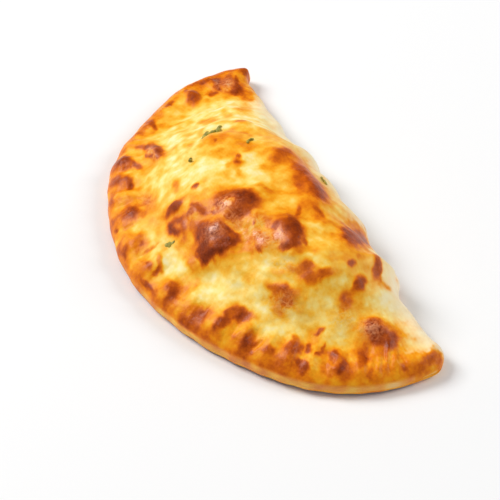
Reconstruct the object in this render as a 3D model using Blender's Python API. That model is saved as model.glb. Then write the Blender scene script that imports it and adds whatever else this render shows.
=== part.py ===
"""Baked chicken calzone: a half-moon turnover of folded dough, shut by a crimped rim.

One solid, in metres. X runs along the fold from the first tip to the second,
the straight fold is at +Y, the curved crimped rim is at -Y and +Z is up.
The origin is at the middle of the flat underside.
"""

import bmesh
import bpy
import numpy as np

MM = 0.001

# Plan outline: two curves that meet at the tips, drawn from the tips' line
HALF_LENGTH = 125.0 * MM
TIP_LINE_Y = 36.5 * MM
RIM_REACH = 100.0 * MM  # from the tips' line to the rim's farthest point
FOLD_REACH = 19.5 * MM  # from the tips' line to the fold
RIM_SQUARENESS = 2.0  # 2 is an ellipse
FOLD_SQUARENESS = 7.5  # how blunt the fold's corners are
FOLD_SWELL = 2.4 * MM
FOLD_WAIST = 2.0 * MM
EAR_FIRST = 7.5 * MM  # the dough that stands out behind each tip
EAR_SECOND = 3.3 * MM
EAR_WIDTH = 6.3 * MM

# Shallow waves of the hand-folded edge: place along X, rise, half width
FOLD_WAVES = (
    (-70.0 * MM, -2.2 * MM, 14.0 * MM),
    (-46.0 * MM, -3.6 * MM, 9.0 * MM),
    (-26.0 * MM, 1.2 * MM, 6.0 * MM),
    (-9.0 * MM, -1.8 * MM, 6.0 * MM),
    (30.0 * MM, 1.2 * MM, 6.0 * MM),
    (46.0 * MM, -2.6 * MM, 7.0 * MM),
    (67.0 * MM, 2.8 * MM, 4.5 * MM),
    (82.0 * MM, -2.0 * MM, 9.0 * MM),
)

# Inward dents of the rim: place along X, depth, half width
RIM_DENTS = (
    (-117.0 * MM, 20.0 * MM, 25.0 * MM),
    (92.0 * MM, 6.4 * MM, 36.0 * MM),
    (45.0 * MM, 2.0 * MM, 30.0 * MM),
    (-50.0 * MM, 1.5 * MM, 30.0 * MM),
)

# Section through the dough
EDGE_HEIGHT = 4.0 * MM  # height of the widest point of the edge
EDGE_ROUND = 7.0 * MM
UNDER_ROUND = 5.0 * MM
RIM_THICKNESS = 10.5 * MM
FLOOR_THICKNESS = 15.0 * MM  # shell and filling where the dome starts
RIM_WIDTH = 15.5 * MM
DOME_HEIGHT = 26.5 * MM
DOME_RISE = 45.0 * MM  # run from the rim to the top
FOLD_RISE = 38.0 * MM  # run from the fold to the top
FIRST_RISE = (-122.0 * MM, 112.0 * MM)  # where the filling starts, and its run
SECOND_RISE = (124.0 * MM, 70.0 * MM)

# Finger-pressed lobes of the rim: a point on each, half width, height
LOBES = (
    (-123, 33, 7.0, 1.6),
    (-115, 14, 7.5, 1.8),
    (-106, -2, 6.5, 1.6),
    (-97, -15, 7.0, 2.2),
    (-84, -28, 6.5, 1.8),
    (-70, -39, 7.5, 3.0),
    (-57, -47, 7.5, 2.8),
    (-45, -53, 6.0, 1.8),
    (-30, -57, 7.5, 2.6),
    (-9, -60, 8.5, 2.4),
    (11, -60, 7.0, 2.4),
    (29, -57, 7.0, 2.6),
    (47, -51, 6.5, 2.8),
    (62, -42, 7.5, 3.2),
    (75, -34, 4.6, 2.2),
    (86, -25, 4.6, 2.2),
    (94, -17, 4.4, 2.2),
    (102, -8, 4.6, 2.4),
    (109, 3, 4.6, 1.5),
    (113, 12, 3.8, 1.3),
    (117, 21, 3.8, 1.3),
    (120, 30, 3.6, 1.2),
    (122, 39, 3.4, 1.1),
    (122, 47, 3.2, 1.0),
)
LOBE_PEAK = 10.0 * MM  # distance in from the edge where a lobe is highest
LOBE_LENGTH = 8.0 * MM

# Blisters and swellings of the crust: place, half length, half width, turn, height
BLISTERS = (
    (12, -4, 13.0, 8.5, 95, 3.4),
    (42, 8, 11.0, 9.0, 150, 3.4),
    (41, -6, 7.0, 5.0, 30, 1.2),
    (24, -23, 12.0, 8.0, 20, 3.2),
    (29, -28, 5.0, 5.0, 0, 1.6),
    (2, -34, 5.5, 4.0, 0, 1.6),
    (-10, -32, 5.5, 4.0, 70, 1.6),
    (2, -26, 6.0, 3.0, 20, 1.2),
    (-11, -18, 3.2, 2.6, 20, 1.0),
    (-21, -26, 4.5, 3.5, 160, 0.9),
    (-16, 8, 6.0, 4.0, 150, 1.1),
    (-38, 8, 11.0, 9.0, 150, 1.6),
    (-52, 26, 7.0, 5.0, 0, 1.2),
    (-65, -21, 12.0, 4.5, 175, 2.6),
    (-105, 18, 6.5, 4.5, 160, 2.0),
    (-107, 44, 9.0, 6.0, 160, 2.0),
    (-4, 34, 22.0, 9.0, 0, 1.8),
    (14, 38, 12.0, 6.0, 170, 1.2),
    (51, 38, 9.0, 6.0, 160, 1.8),
    (72, 42, 10.0, 4.0, 160, 1.2),
    (78, 31, 5.5, 3.5, 120, 1.2),
    (69, 11, 6.5, 4.5, 70, 1.4),
    (70, -6, 8.0, 5.0, 60, 1.0),
    (57, 0, 7.0, 5.0, 40, 1.0),
    (101, 29, 10.0, 8.0, 60, 3.0),
)

# Furrows pressed in the crust: two ends, half width, depth
FURROWS = (
    (-92, 32, -88, -8, 4.0, 1.0),
    (-80, 48, -74, 14, 3.0, 0.8),
    (-62, 50, -52, 32, 3.0, 0.8),
    (-45, -38, 25, -41, 5.0, 1.0),
    (34, -33, 80, -4, 6.0, 1.6),
    (84, 0, 92, 48, 6.0, 1.4),
    (36, -14, 62, 2, 4.0, 1.0),
    (14, -14, 34, -10, 3.5, 1.2),
)

# Slivers of green herb baked on: two ends on the crust, half width
HERBS = (
    (-55.0, 14.5, -47.5, 8.5, 1.3),
    (-53.5, 6.5, -46.0, 0.0, 1.6),
    (-51.5, 11.0, -49.0, 2.0, 1.3),
    (7.5, -38.0, 4.0, -46.0, 1.3),
    (-31.5, 22.5, -28.0, 17.5, 0.8),
    (-34.0, -12.0, -31.5, -13.0, 0.8),
    (-1.5, 49.0, 7.0, 47.0, 1.0),
)
HERB_HALF_THICKNESS = 1.3 * MM
HERB_SINK = 0.2 * MM

# Mesh sizes
STATIONS = 260
TURNS = 200
EVEN_SHARE = 0.4
OUTLINE_STEPS = 4000
CHORD = 1.0 * MM
CRUST_TRIANGLES = 11000
FLAT_WITHIN = 0.15 * MM


def bell(t):
    return np.exp(-t * t)


def quarter_round(t):
    """Height of a quarter circle, from 0 at its foot to 1 at its crown."""
    t = np.clip(t, 0, 1)
    return np.sqrt(1 - (1 - t) ** 2)


def soft_start(t, softness):
    """A straight ramp that leaves zero gently instead of with a corner."""
    return softness * np.logaddexp(0, t / softness)


def smooth_step(t):
    t = np.clip(t, 0, 1)
    return t * t * (3 - 2 * t)


def closing_width(h, squareness):
    """Share of the full width left at h, which runs from -1 to 1 between the tips."""
    return np.clip(1 - np.abs(h) ** squareness, 0, 1) ** (1 / squareness)


def fold_y(x):
    """The fold: a straight back with a small swell, a waist, waves and the tips' ears."""
    h = x / HALF_LENGTH
    reach = FOLD_REACH + FOLD_SWELL * bell((h - 0.1) / 0.45)
    reach = reach - FOLD_WAIST * bell((h - 0.7) / 0.15)
    for place, rise, width in FOLD_WAVES:
        reach = reach + rise * bell((x - place) / width)
    reach = reach + EAR_FIRST * bell((x + 0.95 * HALF_LENGTH) / EAR_WIDTH)
    reach = reach + EAR_SECOND * bell((x - 0.93 * HALF_LENGTH) / EAR_WIDTH)
    return TIP_LINE_Y + reach * closing_width(h, FOLD_SQUARENESS)


def rim_y(x):
    """The rim: half an ellipse with shallow dents."""
    reach = RIM_REACH
    for place, depth, width in RIM_DENTS:
        reach = reach - depth * bell((x - place) / width)
    return TIP_LINE_Y - reach * closing_width(x / HALF_LENGTH, RIM_SQUARENESS)


def station_x(height):
    """X of a ring at this height of the unit sphere, from -1 to 1.

    An even share keeps the last rings apart, so that the blunt tips have true ends.
    """
    even = np.arcsin(np.clip(height, -1, 1)) * 2 / np.pi
    return HALF_LENGTH * (EVEN_SHARE * even + (1 - EVEN_SHARE) * height)


class Line:
    """A plan curve as short chords, with the arc length at each of its points."""

    def __init__(self, y_of_x, squareness):
        turn = np.linspace(0, np.pi, OUTLINE_STEPS)
        by_tips = -np.sign(np.cos(turn)) * np.abs(np.cos(turn)) ** (2 / squareness)
        h = np.sort(np.concatenate([by_tips, np.linspace(-0.9, 0.9, OUTLINE_STEPS // 4)]))
        points = np.stack([h * HALF_LENGTH, y_of_x(h * HALF_LENGTH)], axis=1)
        arc = arc_lengths(points)
        self.arc = np.linspace(0, arc[-1], round(arc[-1] / CHORD) + 1)
        self.points = np.stack([np.interp(self.arc, arc, points[:, k]) for k in (0, 1)], axis=1)

    def nearest(self, x, y):
        """Distance to the curve, and the arc length of the nearest point."""
        distance = np.empty(len(x))
        arc = np.empty(len(x))
        for start in range(0, len(x), 4000):
            part = slice(start, start + 4000)
            place = np.stack([x[part], y[part]], axis=1)
            squares = ((place[:, None] - self.points[None]) ** 2).sum(axis=2)
            found = squares.argmin(axis=1)
            distance[part] = np.sqrt(squares.min(axis=1))
            arc[part] = self.arc[found]
            for first in (found - 1, found):
                self.refine(place, np.clip(first, 0, len(self.arc) - 2), distance[part], arc[part])
        return distance, arc

    def refine(self, place, first, distance, arc):
        """Take the nearest point of a chord where it is closer than the best so far."""
        start, run = self.points[first], self.points[first + 1] - self.points[first]
        share = ((place - start) * run).sum(axis=1) / (run**2).sum(axis=1)
        share = np.clip(share, 0, 1)
        away = np.hypot(*(place - start - share[:, None] * run).T)
        closer = away < distance
        distance[closer] = away[closer]
        arc[closer] = (self.arc[first] + share * (self.arc[first + 1] - self.arc[first]))[closer]


def arc_lengths(points):
    return np.concatenate([[0], np.cumsum(np.hypot(*np.diff(points, axis=0).T))])


RIM = Line(rim_y, RIM_SQUARENESS)
FOLD = Line(fold_y, FOLD_SQUARENESS)


def lobe_relief(rim_distance, arc):
    """Pressed lobes: ridges that run in from the edge and end in the dome's foot."""
    feet = np.array(LOBES)
    places = RIM.nearest(feet[:, 0] * MM, feet[:, 1] * MM)[1]
    along = np.zeros_like(arc)
    for place, (_, _, half_width, height) in zip(places, LOBES):
        along = np.maximum(along, height * MM * bell((arc - place) / (half_width * MM)) ** 1.3)
    return along * bell((rim_distance - LOBE_PEAK) / LOBE_LENGTH)


def blister_relief(x, y):
    """Low domes with a firm foot, each an ellipse on the crust."""
    total = np.zeros_like(x)
    for place_x, place_y, half_length, half_width, turn, height in BLISTERS:
        angle = np.radians(turn)
        dx = x - place_x * MM
        dy = y - place_y * MM
        along = (dx * np.cos(angle) + dy * np.sin(angle)) / (half_length * MM)
        across = (dy * np.cos(angle) - dx * np.sin(angle)) / (half_width * MM)
        total = total + height * MM * bell((along**2 + across**2) ** 0.75)
    return total


def segment_distance(x, y, x1, y1, x2, y2):
    """Distance in plan to the straight segment between two points."""
    run_x, run_y = x2 - x1, y2 - y1
    t = ((x - x1) * run_x + (y - y1) * run_y) / (run_x**2 + run_y**2)
    t = np.clip(t, 0, 1)
    return np.hypot(x - x1 - t * run_x, y - y1 - t * run_y)


def furrow_relief(x, y):
    """Soft troughs between the swellings."""
    total = np.zeros_like(x)
    for x1, y1, x2, y2, half_width, depth in FURROWS:
        away = segment_distance(x, y, x1 * MM, y1 * MM, x2 * MM, y2 * MM)
        total = total - depth * MM * bell(away / (half_width * MM))
    return total


def top_height(x, y):
    """Upper crust: a rounded edge, a flat rim, the dome over the filling and relief."""
    rim_distance, arc = RIM.nearest(x, y)
    fold_distance, _ = FOLD.nearest(x, y)
    edge = quarter_round(np.minimum(rim_distance, fold_distance) / EDGE_ROUND)
    inner = np.clip(rim_distance / (50 * MM), 0, 1)
    thickness = RIM_THICKNESS + (FLOOR_THICKNESS - RIM_THICKNESS) * inner
    from_rim = soft_start((rim_distance - RIM_WIDTH) / DOME_RISE, 0.13)
    from_fold = soft_start(fold_distance / FOLD_RISE - 0.03, 0.05)
    dome = DOME_HEIGHT * (1 - (1 - np.clip(from_rim, 0, 1)) ** 2)
    dome = dome * (1 - (1 - np.clip(from_fold, 0, 1)) ** 2.2)
    dome = dome * smooth_step((x - FIRST_RISE[0]) / FIRST_RISE[1])
    dome = dome * smooth_step((SECOND_RISE[0] - x) / SECOND_RISE[1])
    relief = lobe_relief(rim_distance, arc) + blister_relief(x, y) + furrow_relief(x, y)
    relief = relief * smooth_step(np.minimum(rim_distance, fold_distance) / EDGE_ROUND)
    return EDGE_HEIGHT + (thickness - EDGE_HEIGHT) * edge + dome + relief


def under_height(x, y):
    """Underside: flat where it lies on the table, curving up to the edge."""
    away = np.minimum(RIM.nearest(x, y)[0], FOLD.nearest(x, y)[0])
    return EDGE_HEIGHT * (1 - quarter_round(away / UNDER_ROUND))


def link(mesh, name, collection):
    thing = bpy.data.objects.new(name, mesh)
    collection.objects.link(thing)
    return thing


def sphere_mesh(name, segments, rings):
    """A unit sphere with its poles on Z."""
    mesh = bpy.data.meshes.new(name)
    shape = bmesh.new()
    bmesh.ops.create_uvsphere(shape, u_segments=segments, v_segments=rings, radius=1)
    bmesh.ops.triangulate(shape, faces=shape.faces)
    shape.to_mesh(mesh)
    shape.free()
    return mesh


def read_points(mesh):
    flat = np.empty(3 * len(mesh.vertices), np.float32)
    mesh.vertices.foreach_get("co", flat)
    return flat.reshape(-1, 3).astype(float)


def write_points(mesh, points):
    mesh.vertices.foreach_set("co", points.astype(np.float32).ravel())
    mesh.update()


def turnover_mesh():
    """A sphere with its poles at the tips, each ring moved to the dough's section."""
    mesh = sphere_mesh("calzone", TURNS, STATIONS)
    ball = read_points(mesh)
    x = station_x(ball[:, 2])
    ring = np.hypot(ball[:, 0], ball[:, 1])
    across = np.where(ring > 1e-6, ball[:, 0] / np.maximum(ring, 1e-6), 0)
    back, front = fold_y(x), rim_y(x)
    y = (back + front) / 2 + across * (back - front) / 2
    z = np.where(ball[:, 1] >= 0, top_height(x, y), under_height(x, y))
    write_points(mesh, np.stack([x, y, z], axis=1))
    face_outward(mesh)
    return mesh


def face_outward(mesh):
    shape = bmesh.new()
    shape.from_mesh(mesh)
    bmesh.ops.recalc_face_normals(shape, faces=shape.faces)
    shape.to_mesh(mesh)
    shape.free()


def herb_mesh(index, x1, y1, x2, y2, half_width):
    """A sliver of leaf that follows the crust, sunk to half its thickness."""
    mesh = sphere_mesh(f"herb_{index}", 8, 10)
    ball = read_points(mesh)
    start, end = np.array([x1, y1]) * MM, np.array([x2, y2]) * MM
    middle, reach = (start + end) / 2, (end - start) / 2
    side = np.array([-reach[1], reach[0]]) / np.hypot(*reach) * half_width * MM
    place = middle + ball[:, 2:3] * reach + ball[:, 0:1] * side
    lift = -HERB_SINK + ball[:, 1] * HERB_HALF_THICKNESS
    z = top_height(place[:, 0], place[:, 1]) + lift
    write_points(mesh, np.column_stack([place, z]))
    face_outward(mesh)
    return mesh


def apply_modifiers(thing):
    """Keep the evaluated shape as the object's own mesh."""
    bpy.context.view_layer.update()
    depsgraph = bpy.context.evaluated_depsgraph_get()
    shaped = bpy.data.meshes.new_from_object(thing.evaluated_get(depsgraph))
    thing.modifiers.clear()
    thing.data = shaped


def thin_out(thing):
    """Fewer triangles where the crust is smooth and on the flat underside."""
    decimate = thing.modifiers.new("thin_out", "DECIMATE")
    decimate.ratio = CRUST_TRIANGLES / len(thing.data.polygons)
    decimate.use_collapse_triangulate = True
    apply_modifiers(thing)


def flatten_underside(thing):
    """Put every point that all but touches the table exactly on it."""
    points = read_points(thing.data)
    points[:, 2] = np.where(points[:, 2] < FLAT_WITHIN, 0, points[:, 2])
    write_points(thing.data, points)


def centre_in_plan(thing):
    points = read_points(thing.data)
    middle = (points.min(axis=0) + points.max(axis=0)) / 2
    points[:, :2] -= middle[:2]
    write_points(thing.data, points)


def fuse_herbs(thing, collection):
    union = thing.modifiers.new("fuse_herbs", "BOOLEAN")
    union.operation = "UNION"
    union.operand_type = "COLLECTION"
    union.collection = collection
    union.solver = "EXACT"
    apply_modifiers(thing)
    for herb in list(collection.objects):
        bpy.data.objects.remove(herb)
    bpy.data.collections.remove(collection)


def crust_material():
    material = bpy.data.materials.new("baked_crust")
    material.use_nodes = True
    shader = material.node_tree.nodes["Principled BSDF"]
    shader.inputs["Base Color"].default_value = (0.87, 0.52, 0.16, 1)
    shader.inputs["Roughness"].default_value = 0.45
    shader.inputs["Metallic"].default_value = 0.0
    return material


def clear_scene():
    for thing in list(bpy.data.objects):
        bpy.data.objects.remove(thing)


def build():
    clear_scene()
    scene = bpy.context.scene
    part = bpy.data.collections.new("chicken_calzone")
    herbs = bpy.data.collections.new("herbs")
    scene.collection.children.link(part)
    scene.collection.children.link(herbs)
    calzone = link(turnover_mesh(), "calzone", part)
    thin_out(calzone)
    flatten_underside(calzone)
    for index, herb in enumerate(HERBS):
        link(herb_mesh(index, *herb), f"herb_{index}", herbs)
    fuse_herbs(calzone, herbs)
    centre_in_plan(calzone)
    calzone.data.materials.clear()
    calzone.data.materials.append(crust_material())
    calzone.data.shade_smooth()
    calzone.data.set_sharp_from_angle(angle=np.radians(60))


build()
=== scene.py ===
import bpy
import numpy as np
from mathutils import Matrix, Vector


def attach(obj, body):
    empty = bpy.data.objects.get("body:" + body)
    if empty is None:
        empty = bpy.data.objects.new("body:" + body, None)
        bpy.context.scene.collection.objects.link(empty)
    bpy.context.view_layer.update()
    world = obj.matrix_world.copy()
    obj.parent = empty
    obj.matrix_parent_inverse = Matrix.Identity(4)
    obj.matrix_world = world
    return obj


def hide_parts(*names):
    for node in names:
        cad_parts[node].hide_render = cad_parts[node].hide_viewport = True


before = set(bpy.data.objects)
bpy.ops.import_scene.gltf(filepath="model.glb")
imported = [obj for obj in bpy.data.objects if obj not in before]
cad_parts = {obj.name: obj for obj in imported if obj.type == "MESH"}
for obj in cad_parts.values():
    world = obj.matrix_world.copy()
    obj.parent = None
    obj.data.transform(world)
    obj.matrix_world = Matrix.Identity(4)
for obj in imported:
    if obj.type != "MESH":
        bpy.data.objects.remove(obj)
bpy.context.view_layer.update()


# The baked crust.
# One round of leavened dough, folded over its filling and pressed shut with the
# fingers along the curved rim, then baked until the high places blistered.

MM = 0.001

HALF_LENGTH = 125.0 * MM
TIP_LINE_Y = 36.5 * MM
RIM_REACH = 100.0 * MM
RIM_SQUARENESS = 2.0
FOLD_REACH = 19.5 * MM
FOLD_SQUARENESS = 7.5
FOLD_SWELL = 2.4 * MM
FOLD_WAIST = 2.0 * MM
EAR_FIRST = 7.5 * MM
EAR_SECOND = 3.3 * MM
EAR_WIDTH = 6.3 * MM
EAR_FIRST_PLACE = -0.95 * HALF_LENGTH
EAR_SECOND_PLACE = 0.93 * HALF_LENGTH

# Place and half width of the fold's swell and waist, as shares of half the length
SWELL_PLACE, SWELL_WIDTH = 0.1, 0.45
WAIST_PLACE, WAIST_WIDTH = 0.7, 0.15

# Shallow waves of the fold: place along X, rise, half width
FOLD_WAVES = (
    (-70.0 * MM, -2.2 * MM, 14.0 * MM),
    (-46.0 * MM, -3.6 * MM, 9.0 * MM),
    (-26.0 * MM, 1.2 * MM, 6.0 * MM),
    (-9.0 * MM, -1.8 * MM, 6.0 * MM),
    (30.0 * MM, 1.2 * MM, 6.0 * MM),
    (46.0 * MM, -2.6 * MM, 7.0 * MM),
    (67.0 * MM, 2.8 * MM, 4.5 * MM),
    (82.0 * MM, -2.0 * MM, 9.0 * MM),
)

# Inward dents of the rim: place along X, depth, half width
RIM_DENTS = (
    (-117.0 * MM, 20.0 * MM, 25.0 * MM),
    (92.0 * MM, 6.4 * MM, 36.0 * MM),
    (45.0 * MM, 2.0 * MM, 30.0 * MM),
    (-50.0 * MM, 1.5 * MM, 30.0 * MM),
)

# Section through the dough
EDGE_HEIGHT = 4.0 * MM
EDGE_ROUND = 7.0 * MM
UNDER_ROUND = 5.0 * MM
RIM_THICKNESS = 10.5 * MM
FLOOR_THICKNESS = 15.0 * MM
RIM_WIDTH = 15.5 * MM
FLOOR_REACH = 50.0 * MM
DOME_HEIGHT = 26.5 * MM
DOME_RISE = 45.0 * MM
DOME_SOFTNESS = 0.13
FOLD_RISE = 38.0 * MM
FOLD_LAG = 0.03
FOLD_SOFTNESS = 0.05
FOLD_FULLNESS = 2.2
FIRST_RISE = (-122.0 * MM, 112.0 * MM)
SECOND_RISE = (124.0 * MM, 70.0 * MM)
LOBE_PEAK = 10.0 * MM
LOBE_LENGTH = 8.0 * MM
LOBE_FLATNESS = 1.3
BLISTER_FLATNESS = 1.5

# A point on each pressed lobe of the rim, half width, height, in millimetres
LOBES = np.array([
    (-123, 33, 7.0, 1.6), (-115, 14, 7.5, 1.8), (-106, -2, 6.5, 1.6), (-97, -15, 7.0, 2.2),
    (-84, -28, 6.5, 1.8), (-70, -39, 7.5, 3.0), (-57, -47, 7.5, 2.8), (-45, -53, 6.0, 1.8),
    (-30, -57, 7.5, 2.6), (-9, -60, 8.5, 2.4), (11, -60, 7.0, 2.4), (29, -57, 7.0, 2.6),
    (47, -51, 6.5, 2.8), (62, -42, 7.5, 3.2), (75, -34, 4.6, 2.2), (86, -25, 4.6, 2.2),
    (94, -17, 4.4, 2.2), (102, -8, 4.6, 2.4), (109, 3, 4.6, 1.5), (113, 12, 3.8, 1.3),
    (117, 21, 3.8, 1.3), (120, 30, 3.6, 1.2), (122, 39, 3.4, 1.1), (122, 47, 3.2, 1.0),
])

# Blisters: place, half length, half width, turn in degrees, height, in millimetres
BLISTERS = np.array([
    (12, -4, 13.0, 8.5, 95, 3.4), (42, 8, 11.0, 9.0, 150, 3.4), (41, -6, 7.0, 5.0, 30, 1.2),
    (24, -23, 12.0, 8.0, 20, 3.2), (29, -28, 5.0, 5.0, 0, 1.6), (2, -34, 5.5, 4.0, 0, 1.6),
    (-10, -32, 5.5, 4.0, 70, 1.6), (2, -26, 6.0, 3.0, 20, 1.2), (-11, -18, 3.2, 2.6, 20, 1.0),
    (-21, -26, 4.5, 3.5, 160, 0.9), (-16, 8, 6.0, 4.0, 150, 1.1), (-38, 8, 11.0, 9.0, 150, 1.6),
    (-52, 26, 7.0, 5.0, 0, 1.2), (-65, -21, 12.0, 4.5, 175, 2.6), (-105, 18, 6.5, 4.5, 160, 2.0),
    (-107, 44, 9.0, 6.0, 160, 2.0), (-4, 34, 22.0, 9.0, 0, 1.8), (14, 38, 12.0, 6.0, 170, 1.2),
    (51, 38, 9.0, 6.0, 160, 1.8), (72, 42, 10.0, 4.0, 160, 1.2), (78, 31, 5.5, 3.5, 120, 1.2),
    (69, 11, 6.5, 4.5, 70, 1.4), (70, -6, 8.0, 5.0, 60, 1.0), (57, 0, 7.0, 5.0, 40, 1.0),
    (101, 29, 10.0, 8.0, 60, 3.0),
])

# Furrows between the swellings: two ends, half width, depth, in millimetres
FURROWS = (
    (-92, 32, -88, -8, 4.0, 1.0), (-80, 48, -74, 14, 3.0, 0.8), (-62, 50, -52, 32, 3.0, 0.8),
    (-45, -38, 25, -41, 5.0, 1.0), (34, -33, 80, -4, 6.0, 1.6), (84, 0, 92, 48, 6.0, 1.4),
    (36, -14, 62, 2, 4.0, 1.0), (14, -14, 34, -10, 3.5, 1.2),
)


def bell(t):
    """exp(-t squared)."""
    return np.exp(-t * t)


def quarter_round(t):
    """A quarter circle from 0 at its foot to 1 at its crown: the root of 1 less (1 - t) squared."""
    return np.sqrt(1 - (1 - np.clip(t, 0, 1)) ** 2)


def soft_start(t, softness):
    """A straight ramp that leaves zero gently: softness times log(1 + exp(t / softness))."""
    return softness * np.logaddexp(0, t / softness)


def smooth_step(t):
    """3 t squared less 2 t cubed, with t held between 0 and 1."""
    t = np.clip(t, 0, 1)
    return t * t * (3 - 2 * t)


def closing_width(h, squareness):
    """The superellipse (1 - |h|^n)^(1/n), 1 in the middle and 0 at the tips."""
    return np.clip(1 - np.abs(h) ** squareness, 0, 1) ** (1 / squareness)


def fold_y(x):
    """Tips' line plus a superellipse whose reach has a swell, a waist, waves and two ears."""
    h = x / HALF_LENGTH
    reach = FOLD_REACH + FOLD_SWELL * bell((h - SWELL_PLACE) / SWELL_WIDTH)
    reach = reach - FOLD_WAIST * bell((h - WAIST_PLACE) / WAIST_WIDTH)
    reach = reach + sum(rise * bell((x - place) / width) for place, rise, width in FOLD_WAVES)
    reach = reach + EAR_FIRST * bell((x - EAR_FIRST_PLACE) / EAR_WIDTH)
    reach = reach + EAR_SECOND * bell((x - EAR_SECOND_PLACE) / EAR_WIDTH)
    return TIP_LINE_Y + reach * closing_width(h, FOLD_SQUARENESS)


def rim_y(x):
    """Tips' line less half an ellipse whose reach has bell-shaped dents."""
    reach = RIM_REACH - sum(depth * bell((x - place) / width) for place, depth, width in RIM_DENTS)
    return TIP_LINE_Y - reach * closing_width(x / HALF_LENGTH, RIM_SQUARENESS)


# How finely the plan curves are sampled: by turn, which is dense at the tips, and evenly
TIP_SAMPLES = 4000
MIDDLE_SAMPLES = 1000
MIDDLE_SHARE = 0.9
CHORD = 1.0 * MM
BLOCK = 4000


def plan_curve(y_of_x, squareness):
    """Points a chord apart along y(x) from tip to tip, and the arc length at each."""
    turn = np.linspace(0, np.pi, TIP_SAMPLES)
    by_tips = -np.sign(np.cos(turn)) * np.abs(np.cos(turn)) ** (2 / squareness)
    by_middle = np.linspace(-MIDDLE_SHARE, MIDDLE_SHARE, MIDDLE_SAMPLES)
    x = np.sort(np.concatenate([by_tips, by_middle])) * HALF_LENGTH
    points = np.stack([x, y_of_x(x)], axis=1)
    arc = np.concatenate([[0], np.cumsum(np.hypot(*np.diff(points, axis=0).T))])
    even = np.linspace(0, arc[-1], round(arc[-1] / CHORD) + 1)
    return np.stack([np.interp(even, arc, points[:, k]) for k in (0, 1)], axis=1), even


def nearest_on(curve, x, y):
    """Distance in plan to the curve's nearest chord, and the arc length there."""
    points, arc = curve
    spots = np.stack([np.ravel(x), np.ravel(y)], axis=1)
    away, along = [], []
    for block in np.array_split(spots, len(spots) // BLOCK + 1):
        squares = (block[:, None, 0] - points[:, 0]) ** 2 + (block[:, None, 1] - points[:, 1]) ** 2
        found = squares.argmin(axis=1)
        options = []
        for first in (np.clip(found - 1, 0, len(arc) - 2), np.clip(found, 0, len(arc) - 2)):
            run = points[first + 1] - points[first]
            share = ((block - points[first]) * run).sum(axis=1) / (run**2).sum(axis=1)
            share = np.clip(share, 0, 1)
            gap = np.hypot(*(block - points[first] - share[:, None] * run).T)
            options.append((gap, arc[first] + share * (arc[first + 1] - arc[first])))
        nearer = options[0][0] < options[1][0]
        away.append(np.where(nearer, options[0][0], options[1][0]))
        along.append(np.where(nearer, options[0][1], options[1][1]))
    return np.concatenate(away).reshape(np.shape(x)), np.concatenate(along).reshape(np.shape(x))


RIM = plan_curve(rim_y, RIM_SQUARENESS)
FOLD = plan_curve(fold_y, FOLD_SQUARENESS)
LOBE_ARCS = nearest_on(RIM, LOBES[:, 0] * MM, LOBES[:, 1] * MM)[1]


def lobes_at(arc):
    """Height of the lobes along the rim: the highest of one bell for each lobe."""
    widths, heights = LOBES[:, 2] * MM, LOBES[:, 3] * MM
    bells = heights * bell((arc[..., None] - LOBE_ARCS) / widths) ** LOBE_FLATNESS
    return bells.max(axis=-1)


def oval_radius(x, y, place_x, place_y, half_length, half_width, turn):
    """Distance from the middle of a turned ellipse, in its own radii."""
    angle = np.radians(turn)
    dx, dy = x - place_x * MM, y - place_y * MM
    along = (dx * np.cos(angle) + dy * np.sin(angle)) / (half_length * MM)
    across = (dy * np.cos(angle) - dx * np.sin(angle)) / (half_width * MM)
    return np.hypot(along, across)


def segment_distance(x, y, x1, y1, x2, y2):
    """Distance in plan to the straight segment between two points."""
    run_x, run_y = x2 - x1, y2 - y1
    t = np.clip(((x - x1) * run_x + (y - y1) * run_y) / (run_x**2 + run_y**2), 0, 1)
    return np.hypot(x - x1 - t * run_x, y - y1 - t * run_y)


def crust_top(x, y, rim, arc, fold):
    """Height of the upper skin.

    A quarter round rises from the edge to the rim's thickness. The dome over the filling is
    (1 - (1 - a)^2) (1 - (1 - b)^2.2), where a and b grow from 0 to 1 with the distance from
    the rim and from the fold, and it dies away at both tips. Lobes and blisters are bells
    added to it, and furrows are bells taken from it.
    """
    edge = quarter_round(np.minimum(rim, fold) / EDGE_ROUND)
    thickness = RIM_THICKNESS + (FLOOR_THICKNESS - RIM_THICKNESS) * np.clip(rim / FLOOR_REACH, 0, 1)
    from_rim = np.clip(soft_start((rim - RIM_WIDTH) / DOME_RISE, DOME_SOFTNESS), 0, 1)
    from_fold = np.clip(soft_start(fold / FOLD_RISE - FOLD_LAG, FOLD_SOFTNESS), 0, 1)
    dome = DOME_HEIGHT * (1 - (1 - from_rim) ** 2) * (1 - (1 - from_fold) ** FOLD_FULLNESS)
    dome = dome * smooth_step((x - FIRST_RISE[0]) / FIRST_RISE[1])
    dome = dome * smooth_step((SECOND_RISE[0] - x) / SECOND_RISE[1])
    relief = lobes_at(arc) * bell((rim - LOBE_PEAK) / LOBE_LENGTH)
    for *oval, height in BLISTERS:
        relief = relief + height * MM * bell(oval_radius(x, y, *oval) ** BLISTER_FLATNESS)
    for x1, y1, x2, y2, half_width, depth in FURROWS:
        away = segment_distance(x, y, x1 * MM, y1 * MM, x2 * MM, y2 * MM)
        relief = relief - depth * MM * bell(away / (half_width * MM))
    relief = relief * smooth_step(np.minimum(rim, fold) / EDGE_ROUND)
    return EDGE_HEIGHT + (thickness - EDGE_HEIGHT) * edge + dome + relief


WAVE_LENGTHS = (0.7, 1.6)


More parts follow.
